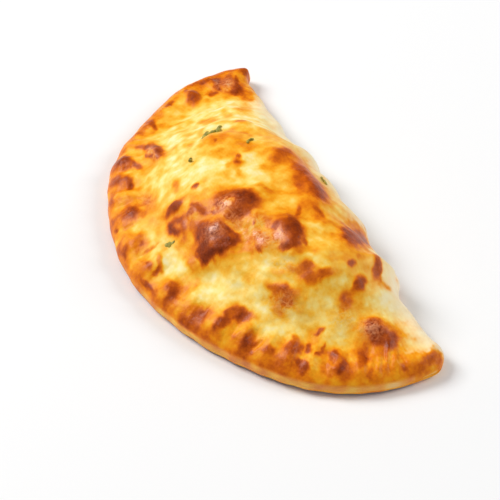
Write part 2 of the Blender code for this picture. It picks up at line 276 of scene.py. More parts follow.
def ripples(place, size, seed, waves=26):
    """Smooth noise of unit spread: plane waves in random directions, their lengths round size."""
    random = np.random.default_rng(seed)
    ways = random.normal(size=(waves, place.shape[-1]))
    ways = ways / np.linalg.norm(ways, axis=1, keepdims=True)
    ways = ways * 2 * np.pi / (size * MM * random.uniform(*WAVE_LENGTHS, (waves, 1)))
    starts = random.uniform(0, 2 * np.pi, waves)
    total = np.zeros(place.shape[:-1])
    for way, start in zip(ways, starts):
        total = total + np.sin(place @ way + start)
    return total * np.sqrt(2 / waves)


def noise(place, height, size, seed):
    """Ripples of this size times a height."""
    return height * ripples(place, size, seed)


STATIONS = 400
TOP_STEPS = 174
UNDER_STEPS = 64
EVEN_SHARE = 0.45

# Stations along X and turns round each section, evened out so that no ring is crowded
even = np.linspace(-1, 1, STATIONS + 2)[1:-1]
station_x = HALF_LENGTH * (EVEN_SHARE * even + (1 - EVEN_SHARE) * np.sin(even * np.pi / 2))
top_turn = np.linspace(0, np.pi, TOP_STEPS, endpoint=False)
under_turn = np.linspace(np.pi, 2 * np.pi, UNDER_STEPS, endpoint=False)
turn = np.concatenate([top_turn, under_turn])
straight = 2 * np.abs(turn / np.pi - 1) - 1
across = 0.5 * np.cos(turn) + 0.5 * straight
back, front = fold_y(station_x), rim_y(station_x)
middle_y = (RIM[0][:, 1].min() + FOLD[0][:, 1].max()) / 2
grid_x = np.repeat(station_x[:, None], len(turn), axis=1)
grid_y = ((back + front) / 2)[:, None] + ((back - front) / 2)[:, None] * across
rim_away, rim_arc = nearest_on(RIM, grid_x, grid_y)
fold_away = nearest_on(FOLD, grid_x, grid_y)[0]
edge_away = np.minimum(rim_away, fold_away)
is_top = turn <= np.pi
top_z = crust_top(grid_x, grid_y, rim_away, rim_arc, fold_away)
under_z = EDGE_HEIGHT * (1 - quarter_round(edge_away / UNDER_ROUND))
form = np.stack([grid_x, grid_y, np.where(is_top, top_z, under_z)], axis=-1)


def outward(points):
    """Unit normals of the closed rings: the step round the ring crossed with the step along X."""
    round_step = np.roll(points, -1, axis=1) - np.roll(points, 1, axis=1)
    along_step = np.gradient(points, axis=0)
    normal = np.cross(round_step, along_step)
    return normal / np.maximum(np.linalg.norm(normal, axis=-1, keepdims=True), 1e-12)


# Where the skin is dried and flaky, and where its colour is paled into painted highlights on the
# blisters: place, half length, half width, turn, share
DRIED_AND_HIGHLIT_PATCHES = (
    (11, -12, 6, 4, 70, 1.0), (43.5, 1, 4.5, 4, 160, 0.9), (38, -5, 7, 4, 20, 1.0),
    (57, -1, 7, 4, 40, 0.5), (21, -22.5, 5, 4.5, 0, 0.8), (97, 26, 5, 4.5, 60, 1.0),
    (-64, -22.5, 8, 1.6, 175, 0.9), (-106, 41, 5, 3, 150, 0.9), (-109, 36, 6, 1.6, 170, 0.7),
    (3, -28, 5, 4, 20, 0.3), (-30, -38, 7, 2.4, 5, 0.5), (24, -10, 12, 4, 20, 0.5),
    (70, -8, 8, 5, 45, 0.5), (30, -2, 7, 5, 0, 0.5), (88, 16, 6, 5, 60, 0.4),
)

# Fine folds in the skin: middle, half length, half width, direction, depth in millimetres
FOLDS = (
    (54, -13, 18, 8, 38, 0.18), (22, -37, 16, 4, 12, 0.16), (-82, 8, 26, 9, 95, 0.06),
    (57, -1, 8, 5, 40, 0.28), (104, 5, 10, 7, 30, 0.30), (112, 24, 9, 10, 150, 0.30),
    (34, -14, 8, 8, 60, 0.22), (76, -28, 6, 7, 105, 0.32), (10, -18, 5, 9, 60, 0.14),
    (-98, 30, 9, 16, 150, 0.12), (70, -2, 8, 7, 40, 0.25), (28, -4, 9, 6, 150, 0.14),
)
FOLD_SPACING = 4.0
FOLD_STRETCH = 0.25
FOLD_WAVE_COUNT = 18
FIRST_FOLD_SEED = 40
FOLD_FLATNESS = 1.5


def skin_folds(x, y):
    """Ridges in millimetres along each patch's direction, as high as its depth, under an oval bell."""
    total = np.zeros_like(x)
    for seed, (place_x, place_y, half_length, half_width, turn, depth) in enumerate(FOLDS):
        angle = np.radians(turn)
        along = x * np.cos(angle) + y * np.sin(angle)
        across = y * np.cos(angle) - x * np.sin(angle)
        stretched = np.stack([FOLD_STRETCH * along, across], axis=-1)
        ridges = ripples(stretched, FOLD_SPACING, FIRST_FOLD_SEED + seed, FOLD_WAVE_COUNT)
        radius = oval_radius(x, y, place_x, place_y, half_length, half_width, turn)
        total = total + depth * ridges * bell(radius**FOLD_FLATNESS)
    return total


# Swells of the skin: height and size in millimetres, seed
SWELLS = ((0.45, 17, 1), (0.055, 7, 2), (0.03, 3, 3))

# Flakes, finger creases and the seam: depths, sizes and the seam's height in millimetres
FLAKE_DEPTH = 0.14
FLAKE_SIZE = 2.4
FLAKE_SQUASH = (1, 1.6, 1)
CREASE_DEPTH = 0.25
CREASE_SPACING = 4.5
CREASE_STRETCH = 0.12
CREASE_SHARPNESS = 2.2
SEAM_DEPTH = 0.7
SEAM_HEIGHT = 5.8
SEAM_SWAY = 0.7
SEAM_SWAY_LENGTH = 19

# Where they show, as distances in from the rim
CREASE_REACH, CREASE_FADE = 22 * MM, 10 * MM
SIDE_REACH = 3.5 * MM
SEAM_HALF_WIDTH = 0.55 * MM
QUIET_SHARE = 0.35
QUIET_REACH = 9 * MM


def fine_relief(place, rim, arc, folds, top):
    """Height in metres of the small forms, and the share of dried skin and painted highlight.

    Swells are noise, and the folds come as they are. Flakes are 1 less the size of a finer
    noise. Creases are bells of a noise that changes along the rim. The seam is a bell about a
    height that sways along the rim.
    """
    x, y = place[..., 0], place[..., 1]
    swell = sum(noise(place, *swelling) for swelling in SWELLS)
    rough = np.zeros_like(x)
    for *oval, share in DRIED_AND_HIGHLIT_PATCHES:
        rough = np.maximum(rough, share * bell(oval_radius(x, y, *oval)))
    flakes = 1 - np.abs(ripples(place * FLAKE_SQUASH, FLAKE_SIZE, 4))
    pressed = ripples(np.stack([arc, CREASE_STRETCH * rim], axis=-1), CREASE_SPACING, 5)
    creases = bell(pressed * CREASE_SHARPNESS) * smooth_step((CREASE_REACH - rim) / CREASE_FADE)
    side = 1 - smooth_step(rim / SIDE_REACH)
    seam_height = (SEAM_HEIGHT + SEAM_SWAY * ripples(arc[..., None], SEAM_SWAY_LENGTH, 6)) * MM
    seam = bell((place[..., 2] - seam_height) / SEAM_HALF_WIDTH) * side
    raised = swell + FLAKE_DEPTH * flakes * rough + folds
    relief = raised - CREASE_DEPTH * creases * (1 - side) - SEAM_DEPTH * seam
    share = QUIET_SHARE + (1 - QUIET_SHARE) * smooth_step(rim / QUIET_REACH)
    return relief * top * share * MM, rough


FADE_RUN = 2.5 * MM
EDGE_SWELL = 0.35 * MM
EDGE_SWELL_REACH = 5 * MM
FULL_LOBE = 2 * MM

# Rings near a tip are small and the fold's foot is sharp, so the fine relief fades there
fade = smooth_step((HALF_LENGTH - np.abs(grid_x)) / FADE_RUN) * smooth_step(fold_away / FADE_RUN)
folds = skin_folds(grid_x, grid_y)
fine, dried_and_highlit_share = fine_relief(form, rim_away, rim_arc, folds, is_top)
edge_swell = (lobes_at(rim_arc) / FULL_LOBE - 0.5) * EDGE_SWELL * bell(rim_away / EDGE_SWELL_REACH)
lift = (fine + edge_swell * (rim_away < fold_away)) * fade
skin = form + outward(form) * lift[..., None]
skin[..., 1] -= middle_y
skin[..., 2] = np.maximum(skin[..., 2], 0)

# Strokes of browning in the order in which they cover one another, broad first; a few pale strokes are
# painted highlights and one dark one is partly painted shade, as marked below:
# place, half length, half width, turn in degrees, browning they end at, firmness of the edge
STROKES = (
    # Broad tones of the first tip, the left slope and the right band
    (-108, 32, 16, 19, 0, 0.44, 3), (-82, 5, 14, 4, 8, 0.33, 3), (-71, 14, 9, 3, 22, 0.42, 3),
    (-66, -1, 8, 2, 170, 0.32, 3), (-72, 36, 10, 3, 155, 0.46, 3), (-36, 34, 6, 4, 140, 0.30, 3),
    (-88, 28, 5, 14, 10, 0.10, 3), (-60, 28, 10, 6, 0, 0.08, 3), (-66, 8, 12, 4, 10, 0.10, 3),
    (-43, 15, 10, 6, 135, 0.45, 3), (-39, 5, 7, 5, 0, 0.52, 3), (-30, 14, 7, 3, 125, 0.46, 3),
    (-24, 9, 9, 3, 155, 0.44, 3), (-33, -3, 8, 3, 170, 0.34, 3), (-48, -7, 6, 2, 155, 0.42, 3),
    (-52, -12, 5, 2, 165, 0.34, 3), (-38, -13, 9, 4, 160, 0.23, 3), (-20, -5, 7, 5, 0, 0.06, 3),
    (-25, -21, 10, 4, 0, 0.09, 3), (-8, -4, 4, 5, 0, 0.30, 3), (-41, -26, 4, 2, 160, 0.30, 4),
    # Broad tones of the back, from orange to red brown
    (16, 30, 40, 10, 175, 0.46, 3), (-12, 31, 11, 8, 120, 0.50, 3), (6, 36, 20, 6, 172, 0.56, 3),
    (-15, 22, 8, 4, 150, 0.34, 3), (46, 34, 18, 12, 160, 0.42, 3), (44, 47, 14, 4, 142, 0.46, 3),
    (12, 17, 7, 8, 0, 0.45, 3), (29, 14, 6, 9, 0, 0.46, 3), (33, 21, 9, 4, 150, 0.47, 3),
    (23, 17, 4, 4, 150, 0.20, 3), (4, 24, 7, 3, 160, 0.30, 3), (47, 21, 8, 3, 165, 0.24, 3),
    (-8, 12, 9, 5, 140, 0.09, 3), (0, 8, 6, 8, 20, 0.12, 3), (60, 20, 8, 4, 0, 0.28, 3),
    (66, 30, 8, 3, 165, 0.44, 3), (76, 20, 5, 8, 160, 0.36, 3), (70, 36, 7, 4, 0, 0.34, 3),
    # Broad tones of the middle and of the valley before the rim
    (3, -13, 6, 9, 10, 0.46, 3), (20, -4, 8, 9, 0, 0.44, 3), (28, -6, 9, 7, 30, 0.40, 3),
    (33, -16, 10, 8, 40, 0.40, 3), (22, -36, 14, 4, 10, 0.36, 3), (12, -22, 16, 8, 0, 0.44, 3),
    (3, -30, 9, 8, 0, 0.42, 3), (-9, -31, 5, 6, 0, 0.40, 3), (64, 4, 8, 5, 20, 0.36, 3),
    (66, -6, 9, 5, 35, 0.40, 3), (55, -18, 12, 3, 38, 0.26, 3), (46, -12, 6, 3, 40, 0.12, 3),
    (48, -26, 14, 6, 40, 0.13, 3), (40, -36, 7, 5, 0, 0.09, 3), (20, -42, 11, 4, 0, 0.08, 3),
    (-11, -42, 9, 4, 0, 0.12, 3), (-30, -31, 12, 4, 0, 0.10, 3), (80, -12, 5, 10, 140, 0.19, 3),
    (80, 8, 5, 10, 10, 0.20, 3), (96, 12, 5, 4, 30, 0.18, 4), (88, 46, 9, 6, 0, 0.08, 3),
    # Broad tones of the second tip
    (101, 33, 12, 10, 55, 0.46, 3), (96, 26, 7, 7, 0, 0.42, 3), (117, 26, 6, 16, 0, 0.46, 3),
    (106, 5, 9, 7, 35, 0.44, 3), (98, -6, 10, 6, 40, 0.40, 3), (119, 48, 5, 8, 0, 0.50, 3),
    (110, 48, 5, 6, 0, 0.16, 3),
    # Golden spots between the broad tones
    (-97, 37, 4, 5, 0, 0.50, 4), (-112, 33.5, 3.5, 2, 170, 0.62, 4), (-79, 40, 5, 2.4, 150, 0.42, 4),
    (-72, 34, 5, 2.4, 165, 0.44, 4), (-68, 23.5, 6, 2.4, 170, 0.38, 4), (-52, 25, 4, 3, 0, 0.56, 4),
    (-39, 19, 3, 6, 25, 0.40, 4), (-71, 12, 5, 3, 20, 0.50, 4), (-87, -7, 5, 8, 20, 0.42, 4),
    (-86, -15, 4, 3, 0, 0.44, 4), (-54, -30, 5.5, 6.5, 0, 0.42, 3), (-38, -36, 9, 3, 0, 0.34, 4),
    (-30, -35, 5, 3, 0, 0.36, 4), (-24, 17, 4, 5.5, 30, 0.52, 4), (-15.5, 24, 3.5, 5, 0, 0.46, 4),
    (-39.5, 1, 4.5, 2.8, 0, 0.50, 4), (-26, 1, 4.5, 5.5, 0, 0.42, 4), (-56, 3, 6, 1.6, 155, 0.36, 4),
    (-18, -40, 5.5, 6, 0, 0.40, 3), (-11, -36, 4.5, 5, 0, 0.40, 3), (-6, -41, 5, 3, 0, 0.40, 3),
    (20, -36, 10, 2.4, 5, 0.46, 4), (26, -36, 4, 2, 0, 0.52, 4), (12, 11, 5, 2.6, 25, 0.52, 4),
    (34, 2, 7, 3, 0, 0.56, 4), (41, -8, 5, 4.5, 40, 0.54, 4), (50, -16, 2.4, 4, 160, 0.36, 4),
    (57, -3, 2.6, 4, 160, 0.42, 4), (56, 11, 2, 5.5, 160, 0.52, 4), (61, 38, 6, 6, 0, 0.48, 3),
    (60, 30, 6, 2.6, 0, 0.42, 4), (78, 42, 2.4, 5.5, 10, 0.50, 4), (84, 27, 5, 2.4, 170, 0.42, 4),
    (89, 0, 5, 3.6, 0, 0.44, 4), (88, -15, 5, 2.6, 0, 0.56, 4), (109, 23, 3.4, 4, 20, 0.56, 4),
    (104, 15, 3, 3, 0, 0.50, 4), (108, -2, 3, 4, 0, 0.58, 4), (71, -10, 4, 2.6, 40, 0.50, 4),
    # Pale spots between them
    (-61, 42, 5, 6, 0, 0.02, 3), (-80, 22, 2.4, 8, 5, 0.02, 3), (-53, 16, 4.5, 3.4, 0, 0.06, 3),
    (-47, 37, 3, 3, 0, 0.08, 4), (-20, 36, 4, 4.5, 0, 0.14, 3), (35, 43, 5, 5, 0, 0.26, 3),
    (32, 31, 3, 2.4, 0, 0.30, 4), (45.5, 20, 2.4, 4, 170, 0.22, 4), (48, 29, 2.4, 3, 0, 0.26, 4),
    (8, 3.5, 5, 2.2, 10, 0.24, 4), (75, -1, 5, 3.6, 0, 0.20, 3), (74, 22, 2.4, 3, 0, 0.16, 4),
    (85, 17, 2.6, 4, 0, 0.14, 4), (90, 38, 5, 6, 0, 0.04, 3), (94, 12, 3, 2.6, 0, 0.12, 4),
    (-15, -54, 4, 3, 0, 0.38, 4), (-45, -47, 4, 2.4, 20, 0.38, 4),
    # The first tip, from the fold round to the rim
    (-107, 51, 13, 7, 8, 0.48, 3), (-92, 46, 7, 4, 175, 0.54, 4), (-110, 42, 7, 7, 150, 0.60, 4),
    (-99.5, 44, 6.5, 4, 165, 0.90, 5), (-107, 47, 5, 1.4, 155, 0.80, 5), (-112, 43.5, 2, 2, 0, 0.76, 5),
    (-108, 35, 6, 1.8, 175, 0.76, 5), (-114, 37.5, 4, 2.4, 170, 0.88, 5),
    (-116, 31, 1.9, 5, 0, 0.82, 5), (-120, 48, 3, 6, 0, 0.66, 4), (-115, 55.5, 3.6, 3.4, 60, 0.76, 5),
    (-109.5, 41.5, 5, 3, 130, 0.70, 4), (-108, 30, 4, 2.4, 165, 0.50, 4),
    (-102.5, 29.5, 2.2, 2.8, 0, 0.78, 5), (-104.5, 18.8, 6.2, 3.8, 155, 0.84, 5),
    (-113, 23, 3.5, 5, 0, 0.60, 4), (-112.5, 17.5, 2.2, 1.2, 150, 0.74, 5),
    (-106, 5, 3.4, 2.2, 125, 0.76, 5), (-101, -4, 4, 3, 130, 0.55, 4),
    (-95.5, -11.3, 4.5, 2.8, 160, 0.84, 5), (-90, -10.5, 2.4, 1.5, 0, 0.78, 5),
    (-92, -17, 6, 3, 140, 0.58, 4), (-91.5, -19.2, 2.2, 1.2, 20, 0.74, 5), (-119, 40, 2, 9, 0, 0.66, 4),
    (-118, 25, 2, 7, 10, 0.66, 4),
    # The left rim
    (-65, -21, 13, 6, 178, 0.52, 4), (-64, -19.3, 8.5, 2.6, 174, 0.84, 5),
    (-56.5, -21.3, 2.2, 2, 0, 0.78, 5), (-73.5, -22.5, 5, 1.8, 35, 0.80, 5),
    # The first stroke on the next line is a painted highlight under the crescent
    (-62, -22.9, 5, 0.8, 0, 0.45, 5), (-62, -24.8, 4.5, 0.8, 5, 0.76, 5),
    (-84, -28, 5, 3, 140, 0.52, 4), (-68, -36.5, 8, 3.6, 28, 0.72, 4),
    (-70, -37.8, 4, 3.5, 20, 0.86, 5), (-61.5, -32.3, 4.5, 1.6, 18, 0.78, 5),
    (-54, -43.5, 10, 3.8, 15, 0.60, 4), (-50, -41, 5, 2.4, 172, 0.84, 5),
    (-58, -45.3, 4, 3, 20, 0.80, 5), (-45.8, -52.6, 3.6, 1.5, 178, 0.78, 5),
    (-38, -45, 7, 4, 20, 0.50, 4), (-29, -39, 8, 3, 5, 0.52, 4),
    # The lower rim
    (-28, -49, 7, 6.5, 0, 0.60, 4), (-27.5, -48.8, 5.2, 4.2, 60, 0.84, 5),
    (-21, -44, 2.5, 2, 0, 0.60, 5), (-32.5, -57.5, 2.5, 1, 172, 0.72, 5),
    (-25, -58.8, 1.8, 1, 0, 0.74, 5), (-7, -54, 4.5, 6, 0, 0.58, 4), (-8.5, -59.5, 2, 2.2, 0, 0.76, 5),
    (-6.3, -60.8, 2.2, 0.9, 0, 0.76, 5), (-5, -52.5, 0.9, 1.8, 15, 0.74, 5),
    (1.5, -49, 1.3, 5, 0, 0.56, 4), (9.5, -54.2, 2.7, 1.4, 15, 0.76, 5),
    (13, -48.5, 5, 1.6, 170, 0.56, 5), (15.7, -52, 1.3, 3.2, 15, 0.76, 5),
    (19, -58.6, 5.5, 1.2, 12, 0.80, 5), (31, -48, 5.5, 6.5, 0, 0.52, 4),
    (31.3, -49.2, 4, 3, 0, 0.84, 5), (34.5, -53, 2.8, 2.2, 150, 0.78, 5), (35, -41, 3, 5, 20, 0.46, 4),
    (42, -51, 6, 2, 20, 0.52, 4), (50, -46, 5, 7, 150, 0.58, 4), (51.8, -45, 3.2, 6, 165, 0.78, 5),
    (50.5, -50, 4.6, 2, 25, 0.78, 5),
    # The right rim
    (62, -28, 6.5, 4.5, 45, 0.66, 4), (62.5, -26, 4.4, 3.2, 45, 0.84, 5),
    (61.5, -36, 2.2, 4.8, 10, 0.82, 5), (58.8, -31, 1.8, 2.6, 15, 0.78, 5),
    (76.5, -29.5, 5, 6, 30, 0.58, 4), (76, -29.5, 2.6, 5, 30, 0.80, 5),
    # The second stroke on the next line is partly browning, partly painted shade on the right rim's
    # lower side
    (80, -29.5, 1.6, 4.5, 22, 0.78, 5), (94, -19, 6.5, 5, 60, 0.68, 4),
    (86, -22.3, 2.4, 2.6, 120, 0.72, 4), (89.3, -23, 3.4, 2, 150, 0.68, 4),
    (90, -10.5, 3.8, 4.2, 20, 0.84, 5), (92.5, -4.8, 3.2, 1.6, 150, 0.78, 5),
    (99.5, -11.8, 4.6, 2.4, 12, 0.84, 6), (85, -8, 2.2, 1.8, 0, 0.58, 5),
    (88.2, 3.4, 1.1, 2.6, 0, 0.76, 5), (95.5, 1.5, 2.6, 0.9, 125, 0.76, 5),
    (97.6, -2.3, 2.2, 1, 110, 0.76, 5), (103, 4, 8, 4, 30, 0.58, 4),
    (101.5, 4.6, 3.6, 1.8, 150, 0.76, 5), (110.5, 5.2, 4.8, 4.4, 150, 0.70, 4),
    (109, 4.8, 3.4, 1.5, 130, 0.84, 5), (107.5, 17, 6, 2.5, 145, 0.78, 4),
    (116.7, 16, 2.4, 2.3, 0, 0.68, 4), (118.3, 24, 2.2, 5.4, 0, 0.60, 4),
    (102, 30, 9.5, 7, 40, 0.60, 4), (103.5, 30, 6.6, 5, 60, 0.86, 6), (96, 27.5, 3.4, 3.4, 30, 0.78, 5),
    (109.5, 27.8, 3, 1.6, 150, 0.68, 4), (119.5, 34.5, 2, 2.8, 0, 0.62, 4),
    (119.5, 47, 2.2, 4.4, 10, 0.64, 4), (122, 41, 1.8, 5, 0, 0.70, 4), (121, 50, 3, 3, 0, 0.70, 4),
    # The back and its streaks
    (-38, 23, 3, 1.7, 0, 0.46, 4), (-29, 17, 4, 1.6, 135, 0.52, 4),
    (-14.3, 5.8, 4.4, 2.6, 150, 0.66, 4), (-14.2, 6.4, 1.7, 1.2, 0, 0.80, 5),
    (-18.8, 9.3, 2.3, 1.1, 170, 0.74, 5), (-38.5, 4, 1.7, 1, 140, 0.70, 5),
    (-14.3, 1.9, 3, 2.2, 0, 0.44, 4), (-6.5, 4, 2.8, 1.7, 0, 0.48, 4), (-6.5, 18, 2.4, 4, 20, 0.42, 4),
    (-11.5, 29.5, 7.5, 4, 125, 0.74, 4), (-14, 33, 3, 2.6, 120, 0.74, 5),
    (5.5, 35.5, 11, 5, 172, 0.66, 4), (2, 34.3, 6, 2.6, 178, 0.76, 5), (18, 36, 8, 4.4, 162, 0.84, 4),
    (12.5, 28.2, 5.6, 2.6, 175, 0.76, 4), (34, 27.5, 8, 2.4, 175, 0.58, 4),
    (34.5, 28.3, 4, 1.3, 8, 0.76, 5), (46, 45, 11, 6, 140, 0.62, 4), (52, 38, 8.6, 5.2, 145, 0.84, 5),
    (46.5, 46.5, 8, 3.4, 138, 0.80, 4), (70.5, 42.8, 6.6, 2.3, 155, 0.78, 5),
    (69.3, 29.5, 1.6, 3.2, 15, 0.78, 5), (78, 29.5, 5.4, 2.4, 118, 0.84, 5),
    (83, 20, 3, 5, 15, 0.54, 4), (82, 20.5, 2.6, 3.2, 0, 0.70, 3), (64, 7, 5, 4, 15, 0.56, 4),
    (69.5, 11.5, 2.2, 6.2, 170, 0.78, 4), (67.5, 6.5, 3.2, 2, 20, 0.74, 4),
    (63, 7.8, 2.2, 3.2, 150, 0.74, 4), (68, -5, 7, 2.6, 50, 0.58, 4),
    (65.8, -5.7, 4.6, 1.7, 55, 0.70, 4), (69.8, -6.4, 2.8, 1.3, 50, 0.66, 4),
    (62, -8.8, 2.4, 1.2, 50, 0.64, 4), (56, -2, 4, 3, 40, 0.24, 4), (-18, 39, 3.4, 2.6, 0, 0.44, 4),
    # The three large blisters and the small ones round them
    (10, -7, 13, 8, 65, 0.56, 4), (5, -8.8, 2.8, 5.6, 160, 0.78, 5), (13.5, -4, 8.4, 7, 72, 0.80, 5),
    (14, -1.5, 5.6, 4.4, 20, 0.92, 5), (19.6, -7, 2.4, 6.5, 172, 0.84, 5),
    # The first stroke on the next line is a painted highlight on the first blister
    (12, -11, 3.2, 3.4, 0, 0.46, 5), (19, -13.2, 3.4, 1.4, 30, 0.76, 5),
    (7.5, -14.5, 1.6, 1.8, 0, 0.76, 5), (35.5, 11, 7.5, 6, 150, 0.56, 4),
    (43.5, 9, 9.8, 6.6, 160, 0.80, 6), (43, 11, 9, 3.2, 162, 0.90, 6),
    (50.5, 5, 1.9, 5.4, 172, 0.88, 6), (31, 19, 3.4, 1.3, 140, 0.78, 5),
    # The second stroke on the next line is a painted highlight on the second blister
    (52, 12.3, 2.4, 1.2, 170, 0.78, 5), (44, 1.8, 3.8, 3, 0, 0.58, 5),
    (37, 3.5, 2.8, 1.9, 140, 0.82, 5), (39, -5, 7, 4, 25, 0.52, 5), (43, -8.4, 2.8, 1, 10, 0.76, 5),
    (28.8, -4.3, 1.4, 0.8, 150, 0.74, 5), (22, -24, 14, 8, 20, 0.56, 4),
    (24.5, -23.6, 9.6, 6.8, 30, 0.82, 6), (31, -22.5, 2.8, 8, 172, 0.90, 6),
    (26, -30.3, 5.2, 2.4, 12, 0.94, 6), (27, -15.6, 6, 1.9, 22, 0.86, 6),
    (15, -27, 5, 3.8, 178, 0.86, 6), (10.5, -18.5, 2.2, 1.1, 50, 0.78, 5),
    (3, -22.8, 5.8, 1.8, 12, 0.80, 5), (2, -27, 2.2, 3, 170, 0.78, 5),
    (-10.8, -19, 1.9, 1.6, 160, 0.80, 5), (-22, -26, 5, 2.8, 160, 0.54, 4),
    (-9.2, -32.2, 2.7, 4.7, 5, 0.88, 6), (1.5, -34, 6.5, 4, 8, 0.80, 5), (1, -37, 5.5, 1.5, 8, 0.92, 5),
    # The first stroke on the next line is a painted highlight inside the small ringed blister
    (3, -34.4, 2.6, 1, 5, 0.60, 5), (10, -29, 4, 1.4, 165, 0.66, 4),
)


# How far noise bends the strokes out of true: size and reach in millimetres, seeds for X and Y
BENDS = ((9, 0.35, 11, 12), (3.4, 0.24, 13, 14))

# Noises in the browning: height, size in millimetres, seed, and how much calmer it is when baked
GROUND_NOISE = (0.05, 15, 15)
RIM_NOISE = (0.05, 8, 17)
SPOT_NOISES = ((0.055, 6, 16), (0.03, 2.6, 18))
BAKED_CALM = 0.6

# Tones of the plain places before the strokes, and how far in from the rim they reach
PALE_TONE = 0.16
RIM_TONE = 0.42
LOBE_TONE = 0.08
# The edge tone darkens the rim's outer edge: partly browning, partly painted shade
EDGE_BROWN_AND_SHADE = 0.10
FOLD_TONE = 0.10
BROWNED_LOBE = 2.4 * MM
RIM_BAND_REACH, RIM_BAND_FADE = 17 * MM, 11 * MM
EDGE_BROWN_AND_SHADE_REACH = 4 * MM

# Firmness of the softest stroke, the steepening for each step above it, the exponent's limit
SOFTEST = 3
FIRMING = 0.12
STEEPEST = 30


def brown_and_painted_light(place, rim, arc, folds):
    """How far the crust is browned, 0 pale to 1 nearly black, with painted shade along the rim's edge
    and a few painted highlights and shade among the strokes.

    Each stroke in turn draws the browning towards its own, with a cover of
    1 / (1 + exp((r - 1) steepness)), the steepness growing with its firmness.
    The strokes are bent out of true by noise.
    """
    x, y = place[..., 0], place[..., 1]
    for size, reach, seed_x, seed_y in BENDS:
        x = x + ripples(place, size, seed_x) * reach * MM
        y = y + ripples(place, size, seed_y) * reach * MM
    tone = PALE_TONE + noise(place, *GROUND_NOISE)
    band = smooth_step((RIM_BAND_REACH - rim) / RIM_BAND_FADE)
    on_lobe = np.clip(lobes_at(arc) / BROWNED_LOBE, 0, 1)
    tone = tone + (RIM_TONE + LOBE_TONE * on_lobe + noise(place, *RIM_NOISE) - tone) * band
    # Darker along the rim's outer edge: partly browning, partly painted shade
    tone = tone + EDGE_BROWN_AND_SHADE * bell(rim / EDGE_BROWN_AND_SHADE_REACH)
    for *oval, target, firmness in STROKES:
        steepness = firmness * (1 + FIRMING * (firmness - SOFTEST))
        slope = np.clip((oval_radius(x, y, *oval) - 1) * steepness, -STEEPEST, STEEPEST)
        cover = 1 / (1 + np.exp(slope))
        tone = tone + (target - tone) * cover
    tone = tone + sum(noise(place, *spots) for spots in SPOT_NOISES) * (1 - BAKED_CALM * tone)
    return np.clip(tone + FOLD_TONE * folds, 0, 1)


BASE_TONE = 0.30
BASE_PATCH_TONE = 0.38
BASE_PATCH_SHARE = 0.35
BASE_PATCH_NOISES = ((0.3, 21, 21), (0.16, 8, 22))
BASE_NOISE = (0.04, 3, 23)


def underside_browning(place):
    """A golden base that lay on the oven's floor, with brown patches where two noises are high."""
    patches = smooth_step(sum(noise(place, *spots) for spots in BASE_PATCH_NOISES) + BASE_PATCH_SHARE)
    return BASE_TONE + BASE_PATCH_TONE * patches + noise(place, *BASE_NOISE)


# The lip of the lower ply, its dark foot (scorched, and painted contact shadow) and the base: where each
# ends and how it fades
LIP_TOP, LIP_FADE = 8.0 * MM, 2.2 * MM
LIP_REACH, LIP_REACH_FADE = 7 * MM, 2 * MM
LIP_START, LIP_START_FADE = -5 * MM, 40 * MM
LIP_TONE = 0.40
LIP_NOISE = (0.08, 9, 24)
SCORCH_AND_SHADOW_TOP, SCORCH_AND_SHADOW_FADE = 2.0 * MM, 1.0 * MM
SCORCH_AND_SHADOW_TONE = 0.70
BASE_START, BASE_FADE = 3 * MM, 6 * MM

# The lower ply shows as a floury tan lip under the seam, dark at its foot where it met the oven's floor,
# which is both scorching and painted contact shadow
top_tone_with_painted_light = brown_and_painted_light(form, rim_away, rim_arc, folds)
height = form[..., 2]
by_rim = rim_away < fold_away
ply_shows = smooth_step((grid_x - LIP_START) / LIP_START_FADE) * by_rim
lip = smooth_step((LIP_TOP - height) / LIP_FADE) * smooth_step((LIP_REACH - rim_away) / LIP_REACH_FADE)
lip = lip * ply_shows
lip_tone_with_painted_shadow = LIP_TONE + noise(form, *LIP_NOISE)
# A dark band at the foot of the rim: partly scorched crust, partly painted contact shadow
lip_tone_with_painted_shadow = lip_tone_with_painted_shadow + SCORCH_AND_SHADOW_TONE * smooth_step((SCORCH_AND_SHADOW_TOP - height) / SCORCH_AND_SHADOW_FADE) * by_rim
base_share = smooth_step((edge_away - BASE_START) / BASE_FADE) * ~is_top
# The tone carries the painted light of the strokes, the rim's edge and the lip's foot
bake = np.where(is_top, top_tone_with_painted_light * (1 - lip) + lip_tone_with_painted_shadow * lip, lip_tone_with_painted_shadow)
bake = bake * (1 - base_share) + underside_browning(form) * base_share

# The fold's side and the lip keep some flour where they are pale
FLOUR_REACH = 11 * MM
FLOUR_START, FLOUR_START_FADE = -104 * MM, 30 * MM
LIP_FLOUR = 0.12
FOLD_FLOUR = 0.90
BAKED_OFF, BAKED_OFF_FADE = 0.45, 0.2

by_fold = bell(fold_away / FLOUR_REACH) * smooth_step((grid_x - FLOUR_START) / FLOUR_START_FADE)
flour = LIP_FLOUR * lip + FOLD_FLOUR * by_fold * smooth_step((BAKED_OFF - bake) / BAKED_OFF_FADE)
flour = np.clip(flour, 0, 1) * is_top

# Some of the back is a redder brown than the rest: place, half length, half width, turn, share
REDS = (
    (5, 36, 30, 9, 0, 0.9), (48, 42, 16, 9, 160, 0.8), (-40, 14, 12, 9, 0, 0.5),
    (40, -6, 8, 5, 20, 0.9), (12, -10, 8, 6, 0, 0.5), (-27, -40, 12, 5, 0, 0.6),
    (-108, 43, 10, 7, 160, 0.6), (20, 24, 30, 8, 0, 0.5), (96, 22, 6, 5, 60, 0.5),
)
redness = np.zeros_like(grid_x)
for *oval, share in REDS:
    redness = np.maximum(redness, share * bell(oval_radius(grid_x, grid_y, *oval)))
redness = redness * is_top


